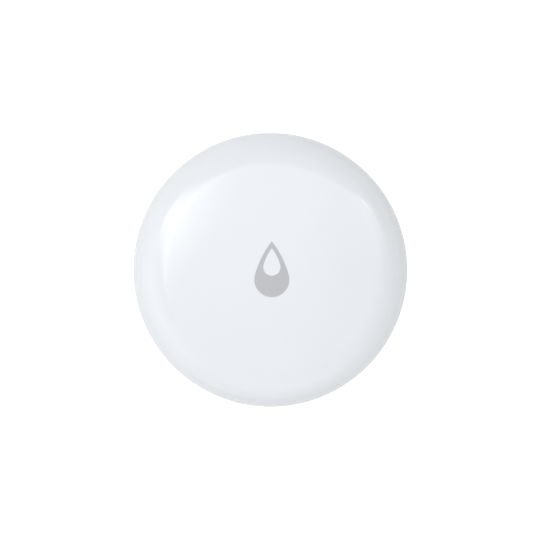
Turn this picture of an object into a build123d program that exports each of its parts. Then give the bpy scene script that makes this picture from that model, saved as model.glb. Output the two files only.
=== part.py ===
from build123d import *
from math import acos, asin, atan2, cos, degrees, radians, sin, sqrt
import os

# Water leak sensor: a round puck that lies on the floor and is pressed on its domed cap to pair it.
# Two probe screws under the puck sense water, and a coin cell sits behind a bayonet door.
# Millimetres. Z = 0 is the floor, the puck's axis is Z, and the top of the cap's mark points to +Y.

# Shared clearances
overrun = 1.0  # how far a cut reaches past the face that it opens
seam_angle = 60.0  # where a turned solid's surface starts, clear of the features
push_fit = 0.03  # gap between pieces of one body that are pushed or screwed together

# Coin cell
cell_radius = 10.0
cell_height = 3.2
cell_play = 0.2  # radial play in the well
cell_can_wall = 0.3
cell_edge = 0.45  # rounding of the can's closed end
cell_lip_edge = 0.25
cell_crimp = 0.75  # how far the can's rolled lip reaches in
cell_lip_drop = 0.15  # the lip lies this far below the negative cap's face
cell_grommet = 0.35  # nylon between can and cap

# Battery door
stand_height = 0.5  # from the floor to the puck's underside
flange_thickness = 0.7
flange_overlap = 1.25
flange_gap = 0.15
flange_play = 0.05
plug_play = 0.15
plug_wall = 1.2
door_plate = 1.1
door_rib_thickness = 0.8
door_rib_height = 0.7
coin_slot_length = 13.0
coin_slot_width = 2.0
coin_slot_depth = 1.3
coin_boss_wall = 0.9
coin_boss_roof = 0.9
door_edge = 0.25
seal_section = 0.8
seal_play = 0.08
seal_bevel = 0.2
ledge_thickness = 0.7
lug_thickness = 0.6
lug_play = 0.05
lug_clearance = 0.1
groove_step = 0.1  # the groove stays this far inside the seal's bore
lug_count = 3
lug_angle = 22.0
lug_end_angle = 2.0  # play at each end of a lug's groove
door_turn = 32.0
door_rib_count = 6

# Base
floor_thickness = 1.5
rim_height = 2.05  # from the underside to the rim's top
rim_step = 0.15  # the rim stands in from the cap's flank by this
base_corner = 1.6
hub_wall = 1.0
hub_rise = 0.7  # the bayonet hub's top above the groove
well_wall = 1.2
probe_web = 0.7
ring_wall = 1.0
ring_height = 3.2
channel_width = 1.6
lip_wall = 0.74
lip_height = 2.4
floor_rib_thickness = 0.8
floor_rib_height = 1.0
floor_rib_angles = (22.5, 67.5, 112.5, 157.5, 202.5, 247.5, 292.5, 337.5)
foot_radius = 2.3
foot_edge = 0.2
foot_angles = (90.0, 270.0)
peg_column_radius = 1.8
peg_radius = 0.8
peg_height = 1.6
peg_angles = (22.5, 202.5)

# Probes
probe_angles = {"left": 180.0, "right": 0.0}
probe_head_radius = 2.75
probe_head_seat = 0.7  # how deep the head sits in the base
probe_head_gap = 0.15
probe_head_edge = 0.25
probe_shank_radius = 1.25
probe_shank_length = 4.0
probe_hole_gap = 0.1
drive_length = 2.8
drive_width = 0.6
drive_depth = 0.6
probe_seal_section = 0.6
probe_gland_play = 0.1
insert_radius = 1.95
insert_floor = 0.71  # plastic between the seal's gland and the insert
insert_groove_width = 1.2
insert_groove_depth = 0.25
boss_wall = 1.1

# Circuit board and what it carries
contact_height = 0.9  # between the cell and the board
board_thickness = 0.8
board_margin = 1.0
board_hole_gap = 0.15
board_screw_head_radius = 2.1
board_screw_head_height = 0.9
board_screw_edge = 0.3
board_screw_reach = 1.9
spring_thickness = 0.2
spring_width = 3.2
spring_seat_length = 4.0
spring_reach = 5.6
spring_tip = 1.0
spring_bend = 0.5
clip_width = 4.0
clip_foot_length = 2.2
clip_drop = 2.6
clip_belly = 0.7
clip_bend = 0.3
clip_slot_width = 5.4
switch_size = 6.0
switch_corner = 0.7
switch_housing_height = 2.3
switch_frame_thickness = 0.3
switch_height = 3.5
switch_plunger_radius = 1.75
switch_plunger_flange = 0.5
switch_plunger_root = 1.4  # from the board to the plunger's underside
switch_plunger_gap = 0.12
switch_dome_rise = 0.5
switch_dome_thickness = 0.08
switch_leg_width = 0.9
switch_leg_length = 1.3
switch_leg_thickness = 0.25
switch_leg_pitch = 4.5
led_place_share = 0.3925  # of the board's radius, towards +Y
led_length = 2.0
led_width = 1.25
led_base_height = 0.35
led_lens_height = 0.35
led_lens_inset = 0.25
radio_size = 6.0
radio_height = 0.9
radio_corner = 0.3
radio_pin_width = 0.3
radio_pin_length = 0.45
radio_pin_height = 0.2
radio_pin_pitch = 1.0
radio_pins_a_side = 5
crystal_place_shares = (-0.43, -0.325)  # of the board's radius
crystal_length = 3.2
crystal_width = 2.5
crystal_base_height = 0.4
crystal_lid_height = 0.35
crystal_lid_inset = 0.25
antenna_margin = 0.8  # from the board's edge
antenna_track = 0.6
antenna_pitch = 1.5
antenna_leg = 3.4
antenna_legs = 8
copper_height = 0.06
chip_length = 1.6
chip_width = 0.8
chip_height = 0.8
chip_end = 0.35
resistor_height = 0.45
capacitor_place_shares = (
    (-0.24, -0.4),
    (-0.11, -0.4),
    (-0.65, -0.25),
    (0.44, -0.28),
    (0.44, -0.39),
    (0.27, 0.5),
)
resistor_place_shares = ((0.02, -0.4), (0.15, -0.4), (0.48, 0.18), (0.48, 0.28), (-0.23, 0.47), (0.16, 0.39))

# Cap
cap_wall = 1.6
crown_rise = 0.8  # the crown's top above the top of the shoulder's circle
shoulder_radius = 6.5
flank_radius = 14.3
skirt_play = 0.3
cap_travel = 0.3
seam_reserve = 0.15
seam_edge = 0.35
post_radius = 1.6
post_length = 1.49
crown_rib_thickness = 0.8
crown_rib_depth = 1.0
crown_rib_count = 5
crown_rib_reach = 8.0
gasket_height = 1.6
gasket_play = 0.2
gasket_bevel = 0.25
tongue_play = 0.25
arm_count = 4
arm_first_angle = 45.0
arm_angle = 14.0
arm_thickness = 1.1
arm_play = 0.2
barb_reach = 0.5
barb_height = 0.8
barb_flat = 0.25
hook_play = 0.05
catch_reach = 0.6
catch_height = 0.7
catch_extra_angle = 2.0
cheek_reach = 1.4
cheek_thickness = 0.8
cheek_play_angle = 0.6
notch_play = 0.4
notch_extra_angle = 3.0
guide_radius = 1.5
guide_boss_wall = 0.9
guide_boss_length = 2.4
guide_gap = 0.3
guide_collar_radius = 2.1
guide_collar_height = 0.7
window_depth = 0.8

# Heights, from the floor up
underside_z = stand_height
flange_top_z = underside_z + flange_thickness
recess_top_z = flange_top_z + flange_play
ledge_bottom_z = flange_top_z + push_fit + seal_section + seal_play
ledge_top_z = ledge_bottom_z + ledge_thickness
lug_bottom_z = ledge_top_z + lug_play
lug_top_z = lug_bottom_z + lug_thickness
groove_top_z = lug_top_z + lug_play
hub_top_z = groove_top_z + hub_rise
cell_bottom_z = groove_top_z  # the cell lies on the door's plug, level with the grooves' roofs
cell_top_z = cell_bottom_z + cell_height
probe_seat_z = underside_z + probe_head_seat
gland_top_z = probe_seat_z + probe_seal_section + probe_gland_play
insert_bottom_z = gland_top_z + insert_floor
board_bottom_z = cell_top_z + contact_height
board_top_z = board_bottom_z + board_thickness
switch_top_z = board_top_z + switch_height
ceiling_z = switch_top_z + post_length
puck_height = ceiling_z + cap_wall
floor_top_z = underside_z + floor_thickness
rim_top_z = underside_z + rim_height
seam_z = rim_top_z + cap_travel + seam_reserve
belt_z = puck_height - crown_rise - shoulder_radius  # where the puck is widest
ring_top_z = floor_top_z + ring_height
lip_top_z = floor_top_z + lip_height
gasket_top_z = floor_top_z + gasket_height

# Radii, from the axis out
plug_radius = cell_radius + cell_play - plug_play
well_radius = cell_radius + cell_play
well_outer = well_radius + well_wall
seal_bore_radius = plug_radius + push_fit + seal_section + seal_play
groove_radius = seal_bore_radius - groove_step
lug_radius = groove_radius - lug_clearance
flange_radius = seal_bore_radius + flange_overlap
recess_radius = flange_radius + flange_gap
hub_radius = recess_radius + hub_wall
counterbore_radius = probe_head_radius + probe_head_gap
probe_ring = recess_radius + probe_web + counterbore_radius
ring_inner = probe_ring + counterbore_radius
ring_middle = ring_inner + ring_wall / 2
channel_inner = ring_inner + ring_wall
channel_outer = channel_inner + channel_width
lip_outer = channel_outer + lip_wall
arm_outer = ring_inner - catch_reach - arm_play
arm_inner = arm_outer - arm_thickness
tongue_inner = channel_inner + tongue_play
tongue_outer = channel_outer - tongue_play
board_radius = tongue_inner - board_margin
boss_radius = insert_radius + push_fit + boss_wall
gland_radius = probe_shank_radius + push_fit + probe_seal_section + probe_gland_play

# Places on the board
led_place_y = led_place_share * board_radius
radio_x = -(switch_size / 2 + switch_leg_length + probe_ring - board_screw_head_radius) / 2
radio_place = (radio_x, 0)
antenna_half_width = (antenna_legs - 1) / 2 * antenna_pitch + antenna_track / 2
antenna_edge = sqrt(board_radius**2 - antenna_half_width**2)
antenna_place = (0, antenna_margin + antenna_leg / 2 - antenna_edge)

# The cap's outline is three arcs that meet tangent: crown, shoulder and flank
seam_drop = belt_z - seam_z
skirt_inner = lip_outer + skirt_play
puck_radius = skirt_inner + flank_radius - sqrt((flank_radius - cap_wall) ** 2 - seam_drop**2)
shoulder_centre = puck_radius - shoulder_radius
flank_centre = puck_radius - flank_radius
crown_radius = (shoulder_centre**2 + 2 * shoulder_radius * crown_rise + crown_rise**2) / (2 * crown_rise)
crown_centre_z = puck_height - crown_radius
crown_angle = degrees(atan2(belt_z - crown_centre_z, shoulder_centre))
rim_radius = flank_centre + sqrt(flank_radius**2 - (belt_z - rim_top_z) ** 2) - rim_step


# Helpers


def turned(face):
    """A solid of revolution from a face drawn with X as radius and Y as height."""
    return Rot(0, 0, seam_angle) * revolve(Plane.XZ * face, Axis.Z, 360)


def ring(inner, outer, low, high):
    """A plain tube, or a disc where inner is zero."""
    tube = extrude(Plane.XY.offset(low) * Circle(outer), high - low)
    if inner > 0:
        tube -= extrude(Plane.XY.offset(low - overrun) * Circle(inner), high - low + 2 * overrun)
    return tube


def sector(inner, outer, low, high, middle, span):
    """A piece of a ring, span degrees wide about the angle middle."""
    face = make_face(Polyline((inner, low), (outer, low), (outer, high), (inner, high), close=True))
    return Rot(0, 0, middle - span / 2) * revolve(Plane.XZ * face, Axis.Z, span)


def polar(radius, angle):
    """The point at that radius and angle on the floor plane."""
    return (radius * cos(radians(angle)), radius * sin(radians(angle)))


def at(place, low, shape):
    """The shape, drawn about the origin, stood at a place on the plane Z = low."""
    return Pos(place[0], place[1], low) * shape


def block(length, width, height):
    """A box that stands on its own origin."""
    return Pos(0, 0, height / 2) * Box(length, width, height)


def bar(radius_from, radius_to, width, low, high, angle):
    """A radial bar, such as a rib."""
    length = radius_to - radius_from
    piece = Pos((radius_from + radius_to) / 2, 0, low) * block(length, width, high - low)
    return Rot(0, 0, angle) * piece


def strip(points, bend, thickness, width):
    """A bent metal strip whose centreline is drawn in the plane X, Z."""
    centreline = FilletPolyline(*points, radius=bend)
    face = make_face(offset(centreline, amount=thickness / 2, side=Side.BOTH).edges())
    return extrude(Plane.XZ * face, amount=width / 2, both=True)


def dome_outline(inset):
    """The arcs of the cap's outline, moved in by inset: crown, shoulder and flank, down to the seam."""
    crown = CenterArc((0, crown_centre_z), crown_radius - inset, crown_angle, 90 - crown_angle)
    shoulder = CenterArc((shoulder_centre, belt_z), shoulder_radius - inset, 0, crown_angle)
    fall = degrees(asin(seam_drop / (flank_radius - inset)))
    flank = CenterArc((flank_centre, belt_z), flank_radius - inset, -fall, fall)
    return crown, shoulder, flank


def dome_solid(inset):
    """The cap's outline as a full solid that stands on the seam plane."""
    crown, shoulder, flank = dome_outline(inset)
    foot = flank @ 0
    walls = [Line(foot, (0, seam_z)), Line((0, seam_z), crown @ 1)]
    return turned(make_face(Curve() + [crown, shoulder, flank] + walls))


def ceiling_at(radius):
    """The height of the crown's underside at a radius."""
    return crown_centre_z + sqrt((crown_radius - cap_wall) ** 2 - radius**2)


def arm_middles():
    return [arm_first_angle + 360 / arm_count * i for i in range(arm_count)]


def lug_middles():
    return [360 / lug_count * i for i in range(lug_count)]


# Cap: one glossy moulding with its post, light guide boss, sealing tongue and snap arms


def snap_arm(middle):
    """A curved arm that hangs from the crown and ends in a barb under the base's catch."""
    barb_top = ring_top_z - catch_height - hook_play
    foot = barb_top - barb_height
    tip = arm_outer + barb_reach
    outline = Polyline(
        (arm_inner, puck_height),
        (arm_inner, foot),
        (arm_outer, foot),
        (tip, barb_top - barb_flat),
        (tip, barb_top),
        (arm_outer, barb_top),
        (arm_outer, puck_height),
        close=True,
    )
    arm = revolve(Plane.XZ * make_face(outline), Axis.Z, arm_angle)
    return Rot(0, 0, middle - arm_angle / 2) * arm


def top_cover():
    shell = dome_solid(0) - dome_solid(cap_wall)
    guide_boss_foot = ceiling_at(led_place_y) - guide_boss_length
    inner = ring(tongue_inner, tongue_outer, gasket_top_z, puck_height)
    inner += ring(0, post_radius, switch_top_z, puck_height)
    inner += at((0, led_place_y), 0, ring(0, guide_radius + guide_boss_wall, guide_boss_foot, puck_height))
    for middle in arm_middles():
        inner += snap_arm(middle)
    for i in range(crown_rib_count):
        angle = 90 + 360 / crown_rib_count * (i + 1 / 2)
        low = ceiling_at(crown_rib_reach) - crown_rib_depth
        inner += bar(0, crown_rib_reach, crown_rib_thickness, low, puck_height, angle)
    inner &= dome_solid(cap_wall / 2)
    cover = shell + inner
    window_top = ceiling_at(led_place_y) + window_depth
    socket = ring(0, guide_radius + push_fit, guide_boss_foot - overrun, window_top)
    cover -= at((0, led_place_y), 0, socket)
    circles = cover.edges().filter_by(GeomType.CIRCLE)
    return fillet([e for e in circles if abs(e.center().Z - seam_z) < push_fit], seam_edge)


def light_guide():
    """A clear rod that carries the indicator's light to the thinned window in the crown."""
    top = ceiling_at(led_place_y) + window_depth - push_fit
    foot = board_top_z + led_base_height + led_lens_height + cap_travel + guide_gap
    rod = ring(0, guide_radius, foot, top)
    collar_top = ceiling_at(led_place_y) - guide_boss_length
    rod += ring(0, guide_collar_radius, collar_top - guide_collar_height, collar_top)
    return at((0, led_place_y), 0, rod)


# Base: floor, rim, gasket channel, bayonet hub, battery well and the probes' bosses


def base_outline():
    """Half the base's section, from the recess round the outside and back down the well."""
    corner_start = (rim_radius - base_corner, underside_z)
    corner_end = (rim_radius, underside_z + base_corner)
    corner = RadiusArc(corner_start, corner_end, -base_corner)
    up = Polyline(
        corner_end,
        (rim_radius, rim_top_z),
        (lip_outer, rim_top_z),
        (lip_outer, lip_top_z),
        (channel_outer, lip_top_z),
        (channel_outer, floor_top_z),
        (channel_inner, floor_top_z),
        (channel_inner, ring_top_z),
        (ring_inner, ring_top_z),
        (ring_inner, floor_top_z),
        (hub_radius, floor_top_z),
        (hub_radius, hub_top_z),
        (well_outer, hub_top_z),
        (well_outer, board_bottom_z),
        (well_radius, board_bottom_z),
        (well_radius, ledge_bottom_z),
        (seal_bore_radius, ledge_bottom_z),
        (seal_bore_radius, recess_top_z),
        (recess_radius, recess_top_z),
        (recess_radius, underside_z),
        corner_start,
    )
    return make_face(Curve() + [corner, up])


def bayonet_groove(middle):
    """The slot where a lug goes in and the groove where it turns to the closed end."""
    entry_span = lug_angle + 2 * lug_end_angle
    entry_middle = middle - door_turn
    run_span = entry_span + door_turn
    run_middle = middle - door_turn / 2
    start = well_radius - overrun
    entry = sector(start, groove_radius, ledge_bottom_z - overrun, groove_top_z, entry_middle, entry_span)
    return entry + sector(start, groove_radius, ledge_top_z, groove_top_z, run_middle, run_span)


def probe_boss(place):
    return at(place, floor_top_z, ring(0, boss_radius, 0, board_bottom_z - floor_top_z))


def probe_bore(place):
    """The stepped hole of one probe: head, seal gland, shank and brass insert."""
    bore = ring(0, counterbore_radius, underside_z - overrun, probe_seat_z)
    bore += ring(0, gland_radius, underside_z, gland_top_z)
    bore += ring(0, probe_shank_radius + probe_hole_gap, underside_z, board_bottom_z)
    bore += ring(0, insert_radius + push_fit, insert_bottom_z, board_bottom_z + overrun)
    return at(place, 0, bore)


def cheek(middle, side):
    """A rib beside a snap arm that keeps the cap from turning."""
    inner = ring_inner - cheek_reach
    half_width = degrees(asin(cheek_thickness / 2 / inner))
    angle = middle + side * (arm_angle / 2 + cheek_play_angle + half_width)
    return bar(inner, ring_middle, cheek_thickness, floor_top_z - floor_thickness / 2, ring_top_z, angle)


def base_housing():
    base = turned(base_outline())
    for angle in peg_angles:
        place = polar(probe_ring, angle)
        base += at(place, floor_top_z, ring(0, peg_column_radius, 0, board_bottom_z - floor_top_z))
        base += at(place, board_bottom_z, ring(0, peg_radius, 0, peg_height))
    for angle in floor_rib_angles:
        rib_top = floor_top_z + floor_rib_height
        base += bar(recess_radius, ring_middle, floor_rib_thickness, floor_top_z, rib_top, angle)
    for middle in arm_middles():
        low = ring_top_z - catch_height
        catch_span = arm_angle + 2 * catch_extra_angle
        base += sector(ring_inner - catch_reach, ring_middle, low, ring_top_z, middle, catch_span)
        for side in (-1, 1):
            base += cheek(middle, side)
    for angle in foot_angles:
        foot = ring(0, foot_radius, 0, stand_height + floor_thickness / 2)
        foot = chamfer(foot.edges().group_by(Axis.Z)[0], foot_edge)
        base += at(polar(probe_ring, angle), 0, foot)
    for angle in probe_angles.values():
        base += probe_boss(polar(probe_ring, angle))
    for angle in probe_angles.values():
        base -= probe_bore(polar(probe_ring, angle))
    for middle in lug_middles():
        base -= bayonet_groove(middle)
    slot_low = cell_top_z - clip_drop - clip_bend
    slot_height = board_bottom_z - slot_low + overrun
    slot = block(clip_slot_width, well_wall + cell_play + 2 * overrun, slot_height)
    return base - at((0, -well_outer), slot_low, slot)


# Battery door: flange, plug, coin slot and three bayonet lugs


def coin_slot(grow, depth):
    """The slot's shape, grown all round, as deep as asked from the door's face."""
    profile = SlotOverall(coin_slot_length + 2 * grow, coin_slot_width + 2 * grow)
    return extrude(Plane.XY.offset(underside_z) * profile, depth)


def battery_door():
    door = ring(0, flange_radius, underside_z, flange_top_z)
    door = chamfer(door.edges().group_by(Axis.Z)[0], door_edge)
    door += ring(0, plug_radius, underside_z + door_edge, underside_z + door_plate)
    door += ring(plug_radius - plug_wall, plug_radius, flange_top_z - door_edge, lug_top_z)
    boss_height = coin_slot_depth + coin_boss_roof
    door += coin_slot(coin_boss_wall, boss_height)
    rib_top = underside_z + door_plate + door_rib_height
    for i in range(door_rib_count):
        angle = 360 / door_rib_count * (i + 1 / 2)
        start = coin_slot_width / 2
        door += bar(start, plug_radius - plug_wall / 2, door_rib_thickness, flange_top_z, rib_top, angle)
    for middle in lug_middles():
        door += sector(plug_radius - plug_wall / 2, lug_radius, lug_bottom_z, lug_top_z, middle, lug_angle)
    slot = coin_slot(0, coin_slot_depth) + Pos(0, 0, -overrun) * coin_slot(0, overrun)
    return door - slot


def bevelled_ring(inner, outer, low, high, bevel):
    """A silicone ring whose upper edges are bevelled."""
    outline = Polyline(
        (inner, low),
        (outer, low),
        (outer, high - bevel),
        (outer - bevel, high),
        (inner + bevel, high),
        (inner, high - bevel),
        close=True,
    )
    return turned(make_face(outline))


def door_seal():
    """The ring between the door's plug and the bore round it, laid on the flange."""
    inner = plug_radius + push_fit
    low = flange_top_z + push_fit
    return bevelled_ring(inner, inner + seal_section, low, low + seal_section, seal_bevel)


def cap_gasket():
    """The ring in the base's channel that seals the cap's tongue and lifts the cap again."""
    inner = channel_inner + gasket_play
    outer = channel_outer - gasket_play
    return bevelled_ring(inner, outer, floor_top_z, gasket_top_z, gasket_bevel)


# Probes: a flat-headed screw that the water bridges, its seal and its brass insert


def cross_recess(low, high):
    """The driver's cross in a screw's head."""
    arm = block(drive_length, drive_width, high - low)
    return Pos(0, 0, low) * (arm + Rot(0, 0, 90) * arm)


def probe_screw(place):
    head = ring(0, probe_head_radius, 0, probe_seat_z)
    head = fillet(head.edges().group_by(Axis.Z)[0], probe_head_edge)
    screw = head + ring(0, probe_shank_radius, probe_seat_z, probe_seat_z + probe_shank_length)
    return at(place, 0, screw - cross_recess(-overrun, drive_depth))


def probe_seal(place):
    """The flat silicone washer in the gland over the head."""
    low = probe_seat_z + push_fit
    inner = probe_shank_radius + push_fit
    return at(place, low, ring(inner, inner + probe_seal_section, 0, probe_seal_section))


def brass_insert(place):
    """The threaded insert, with a groove round it that the plastic grips."""
    insert = ring(probe_shank_radius + push_fit, insert_radius, insert_bottom_z, board_bottom_z)
    middle = (insert_bottom_z + board_bottom_z) / 2
    half = insert_groove_width / 2
    groove = ring(insert_radius - insert_groove_depth, insert_radius + overrun, middle - half, middle + half)
    return at(place, 0, insert - groove)


def board_screws():
    screws = []
    for angle in probe_angles.values():
        head_top = board_top_z + board_screw_head_height
        screw = ring(0, board_screw_head_radius, board_top_z, head_top)
        screw = chamfer(screw.edges().group_by(Axis.Z)[-1], board_screw_edge)
        screw += ring(0, probe_shank_radius, board_bottom_z - board_screw_reach, board_top_z)
        screw -= cross_recess(head_top - drive_depth, head_top + overrun)
        screws.append(at(polar(probe_ring, angle), 0, screw))
    return Compound(screws)


# Coin cell: steel can, negative cap and the nylon grommet between them


def battery_can():
    lip_z = cell_top_z - cell_lip_drop
    inner = cell_radius - cell_can_wall
    outline = Polyline(
        (0, cell_bottom_z),
        (cell_radius, cell_bottom_z),
        (cell_radius, lip_z),
        (cell_radius - cell_crimp, lip_z),
        (cell_radius - cell_crimp, lip_z - cell_can_wall),
        (inner, lip_z - cell_can_wall),
        (inner, cell_bottom_z + cell_can_wall),
        (0, cell_bottom_z + cell_can_wall),
        close=True,
    )
    can = turned(make_face(outline))
    rims = [e for e in can.edges().filter_by(GeomType.CIRCLE) if abs(e.radius - cell_radius) < push_fit]
    low_rim = [e for e in rims if e.center().Z < cell_bottom_z + push_fit]
    high_rim = [e for e in rims if e.center().Z > lip_z - push_fit]
    return chamfer(high_rim, cell_lip_edge).fillet(cell_edge, low_rim)


def cap_step():
    """Radius of the negative cap's face, and of its wider foot inside the can."""
    return cell_radius - cell_crimp - cell_grommet, cell_radius - cell_can_wall - cell_grommet


def battery_cap():
    face, foot = cap_step()
    shelf = cell_top_z - cell_lip_drop - cell_can_wall - cell_grommet
    cap = ring(0, foot, cell_bottom_z + cell_can_wall + push_fit, shelf)
    return cap + ring(0, face, shelf, cell_top_z)


def battery_grommet():
    """The nylon ring between can and cap, drawn as one turned section."""
    face, foot = cap_step()
    lip_z = cell_top_z - cell_lip_drop
    shelf = lip_z - cell_can_wall - cell_grommet + push_fit
    outline = Polyline(
        (foot + push_fit, cell_bottom_z + cell_can_wall + push_fit),
        (cell_radius - cell_can_wall - push_fit, cell_bottom_z + cell_can_wall + push_fit),
        (cell_radius - cell_can_wall - push_fit, lip_z - cell_can_wall - push_fit),
        (cell_radius - cell_crimp - push_fit, lip_z - cell_can_wall - push_fit),
        (cell_radius - cell_crimp - push_fit, lip_z),
        (face + push_fit, lip_z),
        (face + push_fit, shelf),
        (foot + push_fit, shelf),
        close=True,
    )
    return turned(make_face(outline))


# Circuit board and its contacts


def circuit_board():
    board = ring(0, board_radius, board_bottom_z, board_top_z)
    low = board_bottom_z - overrun
    high = board_top_z + overrun
    for middle in arm_middles():
        notch_span = arm_angle + 2 * notch_extra_angle
        board -= sector(arm_inner - notch_play, board_radius + overrun, low, high, middle, notch_span)
    for angle in probe_angles.values():
        board -= at(polar(probe_ring, angle), 0, ring(0, probe_shank_radius + board_hole_gap, low, high))
    for angle in peg_angles:
        board -= at(polar(probe_ring, angle), 0, ring(0, peg_radius + board_hole_gap, low, high))
    return board


def negative_spring():
    """A leaf spring under the board whose two tips press on the cell's negative cap."""
    seat = board_bottom_z - spring_thickness / 2
    touch = cell_top_z + spring_thickness / 2
    half = spring_seat_length / 2
    lift = (seat - touch) / 2
    points = [
        (-spring_reach - spring_tip, touch + lift),
        (-spring_reach, touch),
        (-half, seat),
        (half, seat),
        (spring_reach, touch),
        (spring_reach + spring_tip, touch + lift),
    ]
    return strip(points, spring_bend, spring_thickness, spring_width)


def positive_clip():
    """A spring clip that hangs from the board and presses on the side of the can."""
    seat = board_bottom_z - spring_thickness / 2
    touch = cell_radius + push_fit + spring_thickness / 2
    back = touch + clip_belly
    drop = cell_top_z - clip_drop
    points = [
        (back + clip_foot_length, seat),
        (back, seat),
        (touch, (cell_top_z + drop) / 2),
        (back, drop),
    ]
    return Rot(0, 0, 270) * strip(points, clip_bend, spring_thickness, clip_width)


# Tactile switch under the cap's post


def switch_housing():
    body = block(switch_size, switch_size, switch_housing_height)
    body = fillet(body.edges().filter_by(Axis.Z), switch_corner)
    cavity = switch_plunger_radius + switch_plunger_flange + switch_plunger_gap
    cavity_floor = switch_plunger_root - switch_dome_rise
    return at((0, 0), board_top_z, body - ring(0, cavity, cavity_floor, switch_height))


def switch_frame():
    plate = block(switch_size, switch_size, switch_frame_thickness)
    plate = fillet(plate.edges().filter_by(Axis.Z), switch_corner)
    plate -= ring(0, switch_plunger_radius + switch_plunger_gap, -overrun, switch_frame_thickness + overrun)
    return at((0, 0), board_top_z + switch_housing_height, plate)


def switch_dome():
    """The thin steel dome that clicks under the plunger and lifts it again."""
    rim = switch_plunger_radius + switch_plunger_flange
    outer_radius = (rim**2 + switch_dome_rise**2) / (2 * switch_dome_rise)
    inner_radius = outer_radius - switch_dome_thickness
    centre = (0, switch_dome_rise - outer_radius)
    outer_angle = degrees(acos((outer_radius - switch_dome_rise) / outer_radius))
    inner_angle = degrees(acos((outer_radius - switch_dome_rise) / inner_radius))
    outer = CenterArc(centre, outer_radius, 90 - outer_angle, outer_angle)
    inner = CenterArc(centre, inner_radius, 90 - inner_angle, inner_angle)
    closing = [Line(outer @ 1, inner @ 1), Line(inner @ 0, outer @ 0)]
    dome = turned(make_face(Curve() + [outer, inner] + closing))
    return at((0, 0), board_top_z + switch_plunger_root - switch_dome_rise, dome)


def switch_plunger():
    """The round key: a stem through the frame, with a flange below it that keeps it in."""
    flange_top = switch_housing_height - switch_plunger_gap / 2
    flange = ring(0, switch_plunger_radius + switch_plunger_flange, switch_plunger_root, flange_top)
    stem = ring(0, switch_plunger_radius, switch_plunger_root, switch_height)
    return at((0, 0), board_top_z, flange + stem)


def switch_terminals():
    """Four gull-wing legs, soldered to the board beside the housing."""
    legs = []
    for side in (-1, 1):
        for end in (-1, 1):
            leg = block(switch_leg_length, switch_leg_width, switch_leg_thickness)
            x = side * (switch_size / 2 + switch_leg_length / 2)
            legs.append(at((x, end * switch_leg_pitch / 2), board_top_z, leg))
    return Compound(legs)


# Small parts on the board


def on_board(shares):
    """The place at these shares of the board's radius."""
    return (shares[0] * board_radius, shares[1] * board_radius)


def led_body():
    return at((0, led_place_y), board_top_z, block(led_length, led_width, led_base_height))


def led_lens():
    lens = block(led_length - 2 * led_lens_inset, led_width - 2 * led_lens_inset, led_lens_height)
    lens = fillet(lens.edges().group_by(Axis.Z)[-1], led_lens_inset / 2)
    return at((0, led_place_y), board_top_z + led_base_height, lens)


def radio_chip():
    """The flat square chip that holds the radio and the processor."""
    body = block(radio_size, radio_size, radio_height)
    return at(radio_place, board_top_z, fillet(body.edges().filter_by(Axis.Z), radio_corner))


def radio_pins():
    """The solder pads that show along the chip's four sides."""
    pins = []
    for quarter in range(4):
        for i in range(radio_pins_a_side):
            pin = block(radio_pin_length, radio_pin_width, radio_pin_height)
            y = (i - (radio_pins_a_side - 1) / 2) * radio_pin_pitch
            x = radio_size / 2 + radio_pin_length / 2
            pins.append(at(radio_place, board_top_z, Rot(0, 0, 90 * quarter) * Pos(x, y, 0) * pin))
    return Compound(pins)


def crystal_base():
    body = block(crystal_length, crystal_width, crystal_base_height)
    return at(on_board(crystal_place_shares), board_top_z, body)


def crystal_lid():
    length = crystal_length - 2 * crystal_lid_inset
    width = crystal_width - 2 * crystal_lid_inset
    lid = block(length, width, crystal_lid_height)
    lid = fillet(lid.edges().filter_by(Axis.Z), crystal_lid_inset)
    return at(on_board(crystal_place_shares), board_top_z + crystal_base_height, lid)


def antenna_trace():
    """The copper meander at the board's edge."""
    first = -(antenna_legs - 1) / 2 * antenna_pitch
    trace = None
    for i in range(antenna_legs):
        x = first + i * antenna_pitch
        leg = Pos(x, 0, 0) * block(antenna_track, antenna_leg, copper_height)
        trace = leg if trace is None else trace + leg
        if i < antenna_legs - 1:
            side = 1 if i % 2 else -1
            link = block(antenna_pitch + antenna_track, antenna_track, copper_height)
            trace += Pos(x + antenna_pitch / 2, side * (antenna_leg - antenna_track) / 2, 0) * link
    return at(antenna_place, board_top_z, trace)


def chips(place_shares, height):
    """Small two-ended chips, each a body with a thinner waist between its solder ends."""
    made = []
    for shares in place_shares:
        body = block(chip_length - 2 * chip_end, chip_width - chip_end / 4, height - chip_end / 4)
        for side in (-1, 1):
            x = side * (chip_length - chip_end) / 2
            body += Pos(x, 0, 0) * block(chip_end, chip_width, height)
        made.append(at(on_board(shares), board_top_z, body))
    return Compound(made)


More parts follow.
